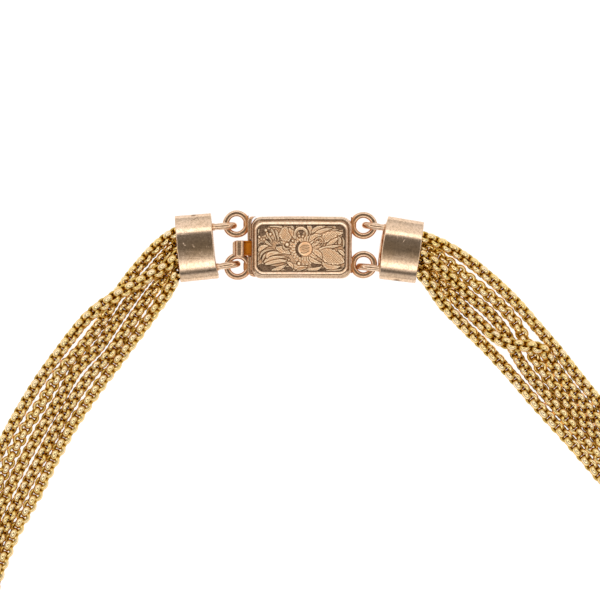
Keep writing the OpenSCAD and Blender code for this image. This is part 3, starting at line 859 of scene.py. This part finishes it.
thumb = {
    "middleY": -0.2, "squareness": 12, "sides": 44, "tabStain": 0.25,
    # x, half width, low and high of the rolled tab
    "roll": [
        (-11.83, 0.8, 3.42, 3.62), (-11.8, 1.0, 3.25, 3.74), (-11.72, 1.12, 3.16, 3.8),
        (-11.62, 1.2, 3.1, 3.83), (-11.47, 1.27, 3.06, 3.85), (-11.39, 1.3, 3.05, 3.93),
        (-11.31, 1.33, 3.03, 4.14), (-11.24, 1.35, 3.02, 4.19), (-11.12, 1.37, 3.02, 4.225),
        (-11.0, 1.38, 3.02, 4.255), (-10.85, 1.38, 3.02, 4.265), (-10.52, 1.38, 3.02, 4.26),
        (-10.38, 1.38, 3.02, 4.24), (-10.2, 1.37, 3.02, 4.19), (-10.0, 1.36, 3.03, 4.1),
        (-9.9, 1.33, 3.07, 3.94), (-9.84, 1.27, 3.14, 3.8),
    ],
    # the neck's ends, half width, underside, floor and top, and the lips along its two edges
    "neck": (-10.3, -7.4, 1.28, 3.05, 3.22, 3.42), "lip": 0.25, "neckShift": 0.07, "lipSlope": 0.065,
    "neckShade": (0.7, 1.0),
    "hinge": (6.0, 1.75), "foldRadius": 0.45, "leafEdges": (-3.4, 3.0),
    "leaf": [(6.0, 2.17), (-6.9, 3.44), (-6.9, 3.66), (-7.75, 3.66), (-7.75, 3.05), (-7.0, 3.0)],
}


def makeThumb():
    middle = thumb["middleY"]
    ringSet = []
    for x, halfY, low, high in thumb["roll"]:
        half = (high - low) / 2
        section = oval(halfY, half, thumb["sides"], thumb["squareness"])
        ringSet.append([(x, middle + a, low + half + b) for a, b in section])
    tab = meshPiece("thumb_tab", loft(ringSet), roseGold, sharpAngle=50, tarnish=thumb["tabStain"])
    x0, x1, halfY, low, floor, top = thumb["neck"]
    lip = thumb["lip"]
    section = [(-halfY, low), (halfY, low), (halfY, top), (halfY - lip, top), (halfY - lip * 1.3, floor),
               (-halfY + lip * 1.3, floor), (-halfY + lip, top), (-halfY, top - thumb["lipSlope"])]
    shape = extruded([(middle + thumb["neckShift"] + y, z) for y, z in section], x0, x1, "x")
    # painted shade: the neck lies low in the notch, so it takes the deep orange tint, a little less along its
    # lower lip
    lowEdge, rest = thumb["neckShade"]
    stain = [lowEdge if y < middle - halfY + lip * 1.2 else rest for _, y, _ in shape[0]]
    neck = bevelled(meshPiece("neck", shape, roseGold, tarnish=stain), 0.05)
    hingeX, hingeZ = thumb["hinge"]
    leafShape = extruded([thumb["hinge"], *thumb["leaf"]], *thumb["leafEdges"], "y")
    leaf = bevelled(meshPiece("leaf", leafShape, roseGold), 0.05)
    radius = thumb["foldRadius"]
    fold = [(hingeX + radius * math.cos(a), hingeZ + radius * math.sin(a)) for a in turns(28)]
    bend = meshPiece("fold", extruded(fold, *thumb["leafEdges"], "y"), roseGold, sharpAngle=40)
    mergePieces(tab, [neck, leaf, bend])
    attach(tab, "thumb_spring")
    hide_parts("thumb_lever")
    print("necklace: thumb tab made")


makeThumb()


# the two end caps

caps = {
    "length": 6.2, "thick": 5.0, "wall": 0.35, "around": 96, "endFrom": 0.5, "endReach": 2.4,
    # the bar inside the sleeve is darkened as painted shade
    "barX": 1.5, "barRadius": 0.5, "barMargin": 0.25, "barShade": 0.6,
    "left": {"at": (-18.12, 0.0), "turn": 5.2, "width": 11.28, "taper": -0.006, "dome": 0.1,
             "bow": 0.0, "flare": 0.34, "node": "end_cap_left"},
    "right": {"at": (16.87, -0.44), "turn": 171.8, "width": 10.68, "taper": 0.012, "dome": 0.35,
              "bow": 0.3, "flare": 0.0, "node": "end_cap_right"},
}


def capLines(dome):
    # x along the sleeve, how far in from its outer face, and how far it is darkened (painted shade inside the
    # sleeve, at its mouth and in the crease of the shoulder): from the closed inside out over the mouth
    end, wall = caps["length"] / 2, caps["wall"]
    lines = [(end - 0.55, 2.4, 1.0), (end - 0.55, 1.0, 1.0), (end - 0.6, wall, 1.0), (0.0, wall, 0.8)]
    mouth = [(0.3, wall, 0.35), (0.05, wall - 0.02, 0.0), (0.0, wall - 0.1, 0.0), (0.0, 0.1, 0.0),
             (0.035, 0.03, 0.0), (0.12, 0.0, 0.0), (0.16, 0.0, 0.0), (0.2, 0.0, 0.0)]
    lines += [(x - end, inset, darkening) for x, inset, darkening in mouth]
    lines += [(x, 0.0, 0.0) for x in (-2.0, -1.0, 0.01, 1.0, 2.0)]
    shoulder = [(0.24, 0.0, 0.0), (0.2, 0.0, 0.0), (0.16, 0.0, 0.0), (0.05, 0.03, 0.0), (0.0, 0.11, 0.0),
                (0.0, 0.24, 0.0), (0.05, 0.33, 0.2), (0.1, 0.42, 0.6), (0.08, 0.52, 0.4)]
    lines += [(end - x, inset, darkening) for x, inset, darkening in shoulder]
    domed = [(0.1, 0.66), (0.5, 0.98), (0.8, 1.35), (0.95, 1.8), (1.0, 2.3)]
    return lines + [(end + share * dome, inset, 0.0) for share, inset in domed]


def makeCap(name, cap, loopSet):
    halfY, halfZ, end = cap["width"] / 2, caps["thick"] / 2, caps["length"] / 2
    turn = math.radians(cap["turn"])
    plate = caps["endFrom"]

    def placed(x, y, z):
        return (cap["at"][0] + x * math.cos(turn) - y * math.sin(turn),
                cap["at"][1] + x * math.sin(turn) + y * math.cos(turn), halfZ + z)

    ringSet, grime = [], []
    for x, inset, darkening in capLines(cap["dome"]):
        taper = 1 + cap["taper"] * x / end
        a, b = (halfY - inset) * taper, halfZ - inset * 0.98
        if inset > plate:
            # the end plate shrinks evenly to its middle
            shrunk = 1 - (inset - plate) / caps["endReach"]
            a, b = (halfY - plate) * shrunk, (halfZ - plate) * shrunk
        ring = []
        for y, z in oval(a, b, caps["around"]):
            towardsEnd = max(0.0, x / end) ** 2
            out = x + cap["bow"] * (1 - (y / halfY) ** 2) * towardsEnd
            out += cap["flare"] * clamp((-y / halfY - 0.3) / 0.55) ** 2 * towardsEnd
            ring.append(placed(out, y, z))
        ringSet.append(ring)
        grime += [darkening] * caps["around"]
    sleeve = meshPiece(name, loft(ringSet), roseGold, sharpAngle=60, grime=grime)
    reach = halfY - caps["barMargin"]
    line = [placed(caps["barX"], y, 0.0) for y in np.linspace(-reach, reach, 8)]
    rod = loft(sweepTube(line, [caps["barRadius"]] * len(line), 20))
    mergePieces(sleeve, [meshPiece("bar", rod, roseGold, sharpAngle=50, grime=caps["barShade"])])
    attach(sleeve, "necklace")
    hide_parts(cap["node"])
    for i, (tip, root) in enumerate(loopSet):
        part = makeLoop("%s_loop_%d" % (name, i + 1), tip, root)
        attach(part, "necklace")


makeCap("cap_left", caps["left"], loops["left"])
makeCap("cap_right", caps["right"], loops["right"])
print("necklace: caps made")


# the engraved panel, modelled as one field of heights

panel = {
    "length": 15.2, "width": 8.25, "corner": 1.2, "cell": 0.05, "ground": 4.17, "foot": 4.05, "relief": 0.44,
    "highest": 4.63, "flower": (0.54, -0.13), "button": 1.24, "foliage": 0.4,
    "punchDepth": 0.02, "roughness": 0.006,
}
# each leaf: start, middle and end of its spine, width, share of the height, and its engraving if not plain
leaves = [
    (-5.45, 3.6, -4.2, 3.85, -2.7, 3.1, 0.6, 0.9), (-5.2, 3.4, -4.8, 2.4, -4.35, 1.25, 0.42, 0.8),
    (-4.5, 3.2, -4.1, 2.2, -3.95, 1.2, 0.42, 0.75), (-3.2, 3.5, -2.75, 2.2, -3.0, 0.8, 2.2, 0.95, "cross"),
    (-2.2, 3.4, -1.5, 2.5, -1.1, 1.5, 0.8, 0.8), (-7.3, -0.6, -6.75, 0.15, -5.6, 0.4, 0.75, 0.9),
    (-7.1, -1.9, -6.5, -0.6, -4.7, -0.25, 0.36, 0.8), (-6.65, -2.25, -6.05, -1.05, -4.2, -0.55, 0.4, 0.85),
    (-5.2, -3.75, -3.9, -3.45, -2.5, -2.7, 0.65, 0.75),
    (-6.25, -2.85, -4.7, -2.2, -2.2, -2.2, 0.85, 1.0, "lines"),
    (-6.4, -2.5, -5.05, -1.65, -2.35, -1.55, 0.6, 0.9, "lines"),
    (-5.9, -1.75, -5.2, -0.9, -3.0, -0.9, 0.72, 0.95, "lines"),
    (-4.4, 0.05, -3.2, -0.3, -1.9, -1.0, 1.05, 0.9, "cross"), (-3.6, 1.2, -3.0, 0.85, -2.4, 1.05, 0.5, 0.7),
    (-3.2, 0.8, -2.85, -0.05, -1.95, 0.05, 0.34, 0.85), (-1.9, 4.1, -1.65, 3.6, -1.25, 3.15, 0.45, 0.65),
    (0.8, 4.0, 1.4, 3.4, 1.45, 2.4, 0.75, 0.75), (1.7, 2.6, 2.6, 3.35, 4.1, 3.75, 0.75, 0.85, "veins"),
    (2.75, 2.05, 4.4, 2.75, 6.3, 3.15, 0.6, 0.8, "lines"), (2.05, 2.25, 3.4, 2.95, 5.3, 3.4, 0.62, 0.95),
    (3.0, 0.9, 4.6, 2.0, 7.1, 2.6, 1.55, 1.0, "cross"), (1.3, 1.1, 2.05, 2.0, 3.4, 2.1, 0.75, 0.85, "veins"),
    (4.0, 0.3, 5.3, 1.15, 6.35, 1.9, 0.7, 0.9, "lines"), (1.55, 0.2, 2.4, 0.85, 3.1, 1.15, 0.6, 0.8, "veins"),
    (6.1, 0.3, 6.45, 1.3, 6.1, 2.1, 0.5, 0.85), (2.6, -0.35, 4.4, 0.1, 6.9, 0.55, 0.62, 0.95),
    (7.0, 0.1, 7.15, 1.05, 6.8, 1.9, 0.36, 0.7), (3.4, -2.35, 4.8, -3.2, 6.6, -3.0, 0.95, 0.85),
    (3.0, -0.6, 5.1, -1.5, 7.3, -2.4, 2.5, 1.0, "cross"), (6.1, -0.3, 6.8, -0.75, 7.4, -1.5, 0.55, 0.85),
    (1.2, -1.5, 2.05, -2.2, 3.4, -2.6, 0.65, 0.85, "veins"),
    (1.7, -0.35, 2.75, -0.85, 3.4, -1.85, 0.85, 0.95, "veins"),
    (0.7, -3.5, 2.25, -3.6, 3.5, -2.95, 0.6, 0.75),
    (-1.75, -2.6, -0.5, -3.3, 1.05, -3.0, 0.85, 0.85, "veins"),
    (-2.6, -2.35, -1.85, -2.8, -1.5, -3.5, 0.6, 0.75), (-1.0, -3.9, -0.1, -3.55, 0.8, -3.4, 0.42, 0.6),
    (4.1, -3.75, 5.4, -3.9, 7.1, -3.4, 0.5, 0.7), (-6.07, 3.0, -5.65, 2.1, -5.05, 1.05, 0.42, 0.7),
    (-5.31, 2.32, -5.0, 1.9, -4.7, 1.4, 0.4, 0.7), (-7.25, 1.9, -6.5, 1.35, -5.56, 0.9, 0.4, 0.7),
    (-6.4, 1.47, -5.8, 0.9, -5.05, 0.37, 0.42, 0.7),
]
# two rings of petals: count, from, to, share of the height, and where the first begins
petals = [(24, 1.35, 2.65, 0.6, 0.0), (24, 1.15, 2.15, 0.75, 0.5)]
# arcs of raised band: middle, radius, from and to angle, width, share
arcs = [(-0.15, 2.4, 1.0, -15, 195, 0.6, 0.9), (2.9, 1.05, 0.68, -70, 200, 0.32, 0.8)]
pearls = [
    (-6.12, 3.05, 0.3), (-5.33, 2.38, 0.3), (-7.22, 1.92, 0.27), (-6.42, 1.5, 0.25), (-0.43, 2.07, 0.25),
    (0.16, 2.0, 0.24), (-0.5, -2.6, 0.33), (-2.5, 0.62, 0.36), (-1.55, 1.25, 0.25), (-2.2, -1.95, 0.22),
]
# hollows of dark ground between the leaves: middle and half sizes
pockets = [
    (-6.6, 3.5, 1.0, 0.5), (-6.8, 2.6, 0.6, 0.65), (-5.65, 2.6, 0.3, 0.7), (-5.7, 1.3, 0.5, 0.35),
    (-6.75, 0.65, 0.75, 0.32), (-3.95, 0.45, 0.5, 0.3), (-6.1, -3.35, 1.6, 0.7), (-4.35, -3.95, 1.0, 0.28),
    (-2.15, -3.55, 0.9, 0.5), (-2.7, -2.85, 0.45, 0.28), (-1.3, 3.5, 0.45, 0.7), (-0.1, 2.75, 0.45, 0.5),
    (0.6, 3.6, 0.35, 0.55), (2.05, 3.6, 0.55, 0.4), (6.6, 3.6, 1.05, 0.5), (7.2, 2.3, 0.4, 1.2),
    (2.75, 1.7, 0.6, 0.16), (3.65, 1.2, 0.2, 0.5), (6.05, 0.6, 0.5, 0.22), (6.05, -0.9, 0.42, 0.45),
    (2.25, -2.9, 1.0, 0.35), (3.5, -3.75, 0.75, 0.36), (6.75, -3.5, 0.9, 0.34), (4.6, 3.85, 0.6, 0.22),
    (7.3, 0.2, 0.25, 0.8), (-2.95, 0.45, 0.16, 0.4), (-2.1, 1.3, 0.3, 0.22), (-6.9, -1.4, 0.3, 0.5),
]
# strokes cut in the button: start, middle and end
hatching = [(-0.2, 0.1, 0.3, 0.42, 1.2, 0.5), (0.05, -0.25, 0.6, -0.1, 1.25, 0.1),
            (-0.1, -0.68, 0.45, -0.82, 1.2, -0.45)]


def soft(value):
    value = np.clip(value, 0, 1)
    return value * value * (3 - 2 * value)


def strokes(value, spacing, width=0.36):
    wave = np.abs((value / spacing) % 1.0 - 0.5) * 2
    return soft((wave - (1 - width)) / width)


def roundBack(value):
    # the height of a round back, from the share of the way to its edge
    return np.sqrt(np.clip(1 - value ** 2, 0, 1))


def nearSpine(x, y, spine, samples=40):
    # distance to a curved spine, how far along it, which side, and its length
    start, middle, end = np.reshape(spine, (3, 2))
    pull = 2 * middle - (start + end) / 2
    best = np.full_like(x, 9.0)
    along, side = np.zeros_like(x), np.zeros_like(x)
    for t in np.linspace(0, 1, samples):
        cx, cy = (1 - t) ** 2 * start + 2 * t * (1 - t) * pull + t * t * end
        tx, ty = 2 * (1 - t) * (pull - start) + 2 * t * (end - pull)
        d = np.hypot(x - cx, y - cy)
        near = d < best
        along = np.where(near, t, along)
        side = np.where(near, ((y - cy) * tx - (x - cx) * ty) / math.hypot(tx, ty), side)
        best = np.where(near, d, best)
    return best, along, side, math.dist(start, middle) + math.dist(middle, end)


def engraving(kind, width, edge, along, side, length, x, y):
    # the cut lines on one leaf
    lines = soft((0.05 - np.abs(side)) / 0.04) * (along > 0.08) * (along < 0.9)
    lines = lines * (0.75 if width > 0.5 else 0.3)
    if kind == "plain" and width > 0.55:
        field = soft((edge - 0.05) / 0.06) * (along > 0.12) * (along < 0.8)
        return np.maximum(lines, strokes(side, 0.19, 0.4) * field * 0.6)
    if kind == "cross":
        field = soft((edge - 0.15) / 0.12)
        return np.maximum(lines * 0.3, field * np.maximum(strokes(x + y, 0.42), strokes(x - y, 0.42)))
    if kind == "lines":
        return strokes(side + along * 0.3, 0.2, 0.42) * soft((edge - 0.04) / 0.08) * 0.75
    if kind == "veins":
        veins = strokes(along * length - np.abs(side) * 0.9, 0.36, 0.3)
        return np.maximum(lines, veins * soft((edge - 0.03) / 0.1) * 0.7)
    return lines


def panelRelief(x, y):
    # height and cut lines over the panel, each as a share
    fx, fy = panel["flower"]
    dx, dy = x - fx, y - fy
    reach, angle = np.hypot(dx, dy), np.arctan2(dy, dx)

    # low foliage in strokes that spread from the flower, with hollows down to the ground
    fan = strokes(angle * 4.2 + 0.5 * np.sin(reach * 1.3), 0.42, 0.5)
    height = panel["foliage"] * (1 - 0.35 * fan)
    cut = 0.55 * fan
    for k, (px, py, wide, tall) in enumerate(pockets):
        ex, ey = (x - px) / wide, (y - py) / tall
        ragged = 1 + 0.16 * np.sin(3 * np.arctan2(ey, ex) + 2.3 * k)
        low = soft((ragged - np.hypot(ex, ey)) * min(wide, tall) / 0.14)
        height, cut = height * (1 - low), cut * (1 - low)

    def paint(edge, shape, lines=0.0, gap=0.13):
        # lays a shape over what is there, with a dark cut line round it
        nonlocal height, cut
        rim = soft((edge + gap) / 0.05) * (edge < 0.02) * np.clip(height * 3, 0, 1)
        height, cut = height * (1 - 0.45 * rim), np.maximum(cut, 0.6 * rim)
        inside = soft((edge + 0.02) / 0.08)
        height = height + (shape - height) * inside
        cut = cut + (lines - cut) * inside

    for count, inner, outer, share, start in petals:
        wave = np.abs(((angle / (2 * math.pi) * count + start) % 1.0) - 0.5) * 2
        tip = outer - 0.35 * wave ** 2 + 0.15 * np.sin(angle * 3 + start * 9)
        petal = share * (0.45 + 0.55 * roundBack(wave))
        paint(np.minimum(tip - reach, reach - inner), petal, soft((wave - 0.66) / 0.22) * 0.85, 0.08)

    for leaf in leaves:
        *spine, width, share, kind = (*leaf, "plain")[:9]
        best, along, side, length = nearSpine(x, y, spine)
        half = width / 2 * np.sin(np.pi * np.clip(along, 0.001, 0.999) ** 0.85) ** 0.75 + 0.03
        if kind in ("veins", "cross"):
            half = half * (1 + 0.07 * np.sin(along * length * 9))
        edge = half - best
        crown = 0.66 + 0.34 * roundBack(best / np.maximum(half, 0.05))
        lines = engraving(kind, width, edge, along, side, length, x, y)
        folds = 1 - 0.1 * (width > 0.6) * (0.5 + 0.5 * np.sin(side * 5.5 + along * 6))
        paint(edge, share * crown * folds * (1 - 0.2 * lines), lines)

    for cx, cy, radius, low, high, width, share in arcs:
        off = np.hypot(x - cx, y - cy) - radius
        a = (np.degrees(np.arctan2(y - cy, x - cx)) - low) % 360
        w = width / 2 * (0.6 + 0.4 * np.sin(np.pi * np.clip(a / (high - low), 0, 1)))
        ends = np.radians(np.minimum(a, high - low - a)) * radius
        edge = np.where(a < high - low, np.minimum(w - np.abs(off), ends), -1.0)
        line = soft((0.05 - np.abs(off + 0.06)) / 0.04) * 0.6
        paint(edge, share * (0.7 + 0.3 * np.clip(edge / w, 0, 1)), line)
    for px, py, radius in pearls:
        d = np.hypot(x - px, y - py)
        paint(radius - d, 0.35 + 0.62 * roundBack(d / radius))

    # button: a low dome with a few strokes, and a painted shadow on its left: a crescent sunk to the dark
    # ground
    turn = np.degrees(angle) % 360
    crescent = soft((turn - 112) / 20) * soft((258 - turn) / 20) * soft((1.72 - reach) / 0.2)
    height, cut = height * (1 - crescent * 0.95), cut * (1 - crescent)
    dome = 1.04 * np.clip(1 - (reach / (panel["button"] * 1.1)) ** 2, 0, 1) ** 0.35
    hatch = np.zeros_like(x)
    for spine in hatching:
        hatch = np.maximum(hatch, soft((0.11 - nearSpine(x, y, spine)[0]) / 0.07))
    paint(panel["button"] - reach, dome * (1 - 0.16 * hatch), hatch * 0.9, 0.1)
    return height, cut


def makePanel():
    halfX, halfY, corner = panel["length"] / 2, panel["width"] / 2, panel["corner"]
    columns, rows = int(panel["length"] / panel["cell"]), int(panel["width"] / panel["cell"])
    u, v = np.meshgrid(np.linspace(-1, 1, columns), np.linspace(-1, 1, rows))
    y = v * halfY
    past = np.clip(np.abs(y) - (halfY - corner), 0, corner)
    x = u * (halfX - (corner - np.sqrt(np.maximum(corner ** 2 - past ** 2, 0))))
    height, cut = panelRelief(x, y)

    # the foot of the bezel, then painted shade wherever a point lies below its neighbours
    windowX, windowY, windowCorner = box["window"]
    outX = np.maximum(np.abs(x + box["panel"][0] - box["windowAt"][0]) - windowX + windowCorner, 0)
    outY = np.maximum(np.abs(y) - windowY + windowCorner, 0)
    height = height * soft((windowCorner - np.hypot(outX, outY) - 0.02) / 0.14)
    around = height.copy()
    for _ in range(3):
        for axis in (0, 1):
            around = sum(np.roll(around, step, axis) for step in range(-2, 3)) / 5
    cut = np.clip(np.maximum(cut, soft((around - height - 0.04) / 0.22) * 0.85), 0, 1)
    # painted highlight together with wear: points above their neighbours are lightened
    wearAndHighlight = soft((height - around) / 0.12) * (1 - cut)
    rng = np.random.default_rng(11)
    punch = rng.random(x.shape)
    level = (panel["ground"] + panel["relief"] * height - panel["punchDepth"] * (punch > 0.6) * (height < 0.1)
             + panel["roughness"] * (punch - 0.5))
    level = np.minimum(level, panel["highest"])
    points = list(zip((x + box["panel"][0]).ravel(), (y + box["panel"][1]).ravel(), level.ravel()))
    grid = np.arange(rows * columns).reshape(rows, columns)
    quads = np.stack([grid[:-1, :-1], grid[:-1, 1:], grid[1:, 1:], grid[1:, :-1]], axis=-1)
    faces = quads.reshape(-1, 4).tolist()

    # skirt down to the floor of the recess, and the plain back
    border = np.concatenate([grid[0], grid[1:, -1], grid[-1, -2::-1], grid[-2:0:-1, 0]]).tolist()
    back = [len(points) + k for k in range(len(border))]
    points += [(points[i][0], points[i][1], panel["foot"]) for i in border]
    for k in range(len(border)):
        after = (k + 1) % len(border)
        faces.append((border[k], border[after], back[after], back[k]))
    faces.append(back)
    marks = {"raised": np.clip(height * 1.6, 0, 1), "cut": cut, "wearAndHighlight": wearAndHighlight}
    marks = {label: np.append(values, np.zeros(len(border))) for label, values in marks.items()}
    plate = meshPiece("panel_relief", (points, faces), patinatedGold, **marks)
    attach(plate, "necklace")
    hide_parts("engraved_panel")
    print("necklace: panel has", len(plate.data.polygons), "faces")


makePanel()


# floor, light and camera

stage = {"floor": (0.3, 0.3, 0.3), "glow": 0.92, "roughness": 0.9, "shine": 0.1, "size": 1.2}
light = {
    # brightness by how far a direction leans from straight up: sine of the angle, and level
    "away": [(0.0, 0.19), (0.37, 0.19), (0.42, 0.35), (0.46, 1.0), (0.49, 2.1), (0.56, 2.1), (0.61, 1.15),
             (0.88, 1.0), (0.96, 0.8), (1.0, 0.75)],
    "near": [(0.0, 0.2), (0.07, 0.25), (0.19, 0.44), (0.3, 0.72), (0.44, 1.6), (0.48, 2.1), (0.57, 2.1),
             (0.62, 1.4), (0.67, 0.75), (0.74, 0.22), (0.81, 0.2), (0.87, 0.6), (0.92, 0.85), (1.0, 0.8)],
    "overhead": (1.0, 0.93, 0.8),  # tint of the dark part straight above
    "sides": 0.8,  # share of the light that comes from straight left and right
    "strength": 1.0,
}
view = {"at": (-0.005138, 0.059945, 0.6025), "width": 0.102, "distance": 0.6, "sensor": 36}


def makeStage():
    half = stage["size"] / 2
    mesh = bpy.data.meshes.new("floor")
    corners = [(-half, -half, 0), (half, -half, 0), (half, half, 0), (-half, half, 0)]
    mesh.from_pydata(corners, [], [(0, 1, 2, 3)])
    material, shader, _ = newMaterial("paleFloor")
    feed(shader, {"Base Color": stage["floor"], "Roughness": stage["roughness"],
                  "Specular IOR Level": stage["shine"], "Emission Color": (1.0, 1.0, 1.0),
                  "Emission Strength": stage["glow"]})
    mesh.materials.append(material)
    inScene("floor", mesh)


def makeLight():
    world = bpy.data.worlds.new("lightTent")
    bpy.context.scene.world = world
    world.use_nodes = True
    tree = world.node_tree
    tree.nodes.clear()
    x, y, _ = addNode(tree, "ShaderNodeTexCoord").output("Generated").split()
    lean = (x * x + y * y).calc("SQRT")
    top = max(level for stops in (light["away"], light["near"]) for _, level in stops)

    def tent(stops):
        return greyRamp(lean, *[(place, level / top) for place, level in stops])

    side = y / lean.calc("MAXIMUM", 0.001)
    colour = mixNode(rise(side * 0.5 + 0.5, 0.3, 0.7), tent(light["near"]), tent(light["away"]))
    tint = mixNode(rise(lean, 0.1, 0.45), light["overhead"], (1.0, 1.0, 1.0))
    colour = mixNode(1.0, colour, tint, "MULTIPLY")
    fall = greyRamp(side.calc("ABSOLUTE"), (0.25, light["sides"]), (0.75, 1.0))
    colour = mixNode(1.0, colour, fall, "MULTIPLY")
    background = addNode(tree, "ShaderNodeBackground", {"Color": colour, "Strength": light["strength"] * top})
    addNode(tree, "ShaderNodeOutputWorld", {"Surface": background})


def makeCamera():
    # the view's width in metres fills the frame from its distance
    data = bpy.data.cameras.new("camera")
    data.sensor_width = view["sensor"]
    data.lens = view["sensor"] * view["distance"] / view["width"]
    data.clip_start = 0.05
    camera = inScene("camera", data)
    camera.location = view["at"]
    bpy.context.scene.camera = camera


makeStage()
makeLight()
makeCamera()
bpy.context.scene.view_settings.view_transform = "Standard"

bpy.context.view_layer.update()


print("necklace: done")
